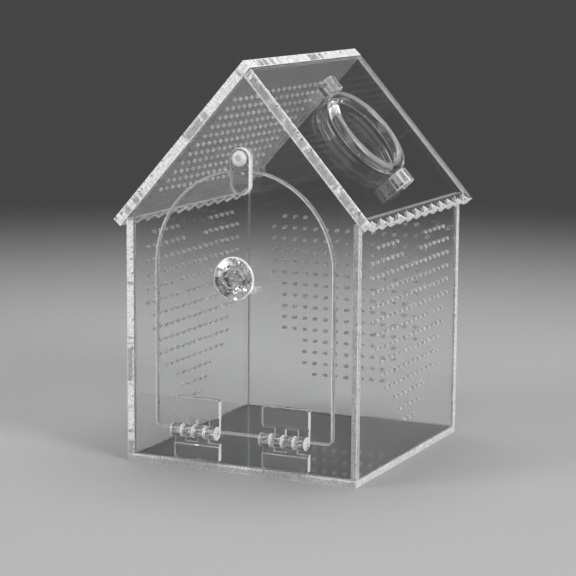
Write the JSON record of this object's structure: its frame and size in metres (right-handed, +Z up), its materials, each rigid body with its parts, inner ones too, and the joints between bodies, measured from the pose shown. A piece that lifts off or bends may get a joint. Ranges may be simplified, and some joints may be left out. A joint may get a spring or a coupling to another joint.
{
  "type": "tarantula terrarium",
  "caption": "Gabled cabin of clear acrylic sheet with notched eaves, an arched drop-down door, a turning latch, a round knob, air holes and a ring handle on its roof.",
  "frame": {"origin": "middle of the base panel's underside", "axes": "+X to the right and +Z up, seen from the front; +Y from the door to the back panel"},
  "size_m": [0.1118, 0.1167, 0.1618],
  "materials": {
    "clear_acrylic": "clear polished sheet with frosted sawn edges",
    "moulded_plastic": "clear moulded plastic",
    "crystal_plastic": "clear faceted plastic",
    "clear_nylon": "milky clear plastic"
  },
  "bodies": {
    "case": {"base_panel": "clear_acrylic", "front_panel": "clear_acrylic", "back_panel": "clear_acrylic", "left_side_panel": "clear_acrylic", "right_side_panel": "clear_acrylic", "left_roof_panel": "clear_acrylic", "right_roof_panel": "clear_acrylic", "door_stop": "clear_acrylic", "latch_screw": "clear_nylon", "latch_nut": "clear_nylon", "handle_ring": "moulded_plastic", "handle_upper_block": "moulded_plastic", "handle_lower_block": "moulded_plastic", "left_hinge_lower_leaf": "moulded_plastic", "left_hinge_pin": "moulded_plastic", "right_hinge_lower_leaf": "moulded_plastic", "right_hinge_pin": "moulded_plastic"},
    "door": {"door_panel": "clear_acrylic", "door_knob": "crystal_plastic", "knob_screw": "clear_nylon", "left_hinge_upper_leaf": "moulded_plastic", "right_hinge_upper_leaf": "moulded_plastic"},
    "latch": {"latch_plate": "clear_acrylic"}
  },
  "joints": [
    {"name": "door_swing", "type": "hinge", "parent": "case", "child": "door", "pos_m": [0.0015, -0.056, 0.0161], "axis": [1, 0, 0], "range_deg": [0, 90]},
    {"name": "latch_turn", "type": "hinge", "parent": "case", "child": "latch", "pos_m": [0.0015, -0.05465, 0.1247], "axis": [0, 1, 0], "range_deg": [0, 90]}
  ],
  "couplings": [
    {"joint": "latch_turn", "follows": "door_swing", "ratio": 1}
  ]
}
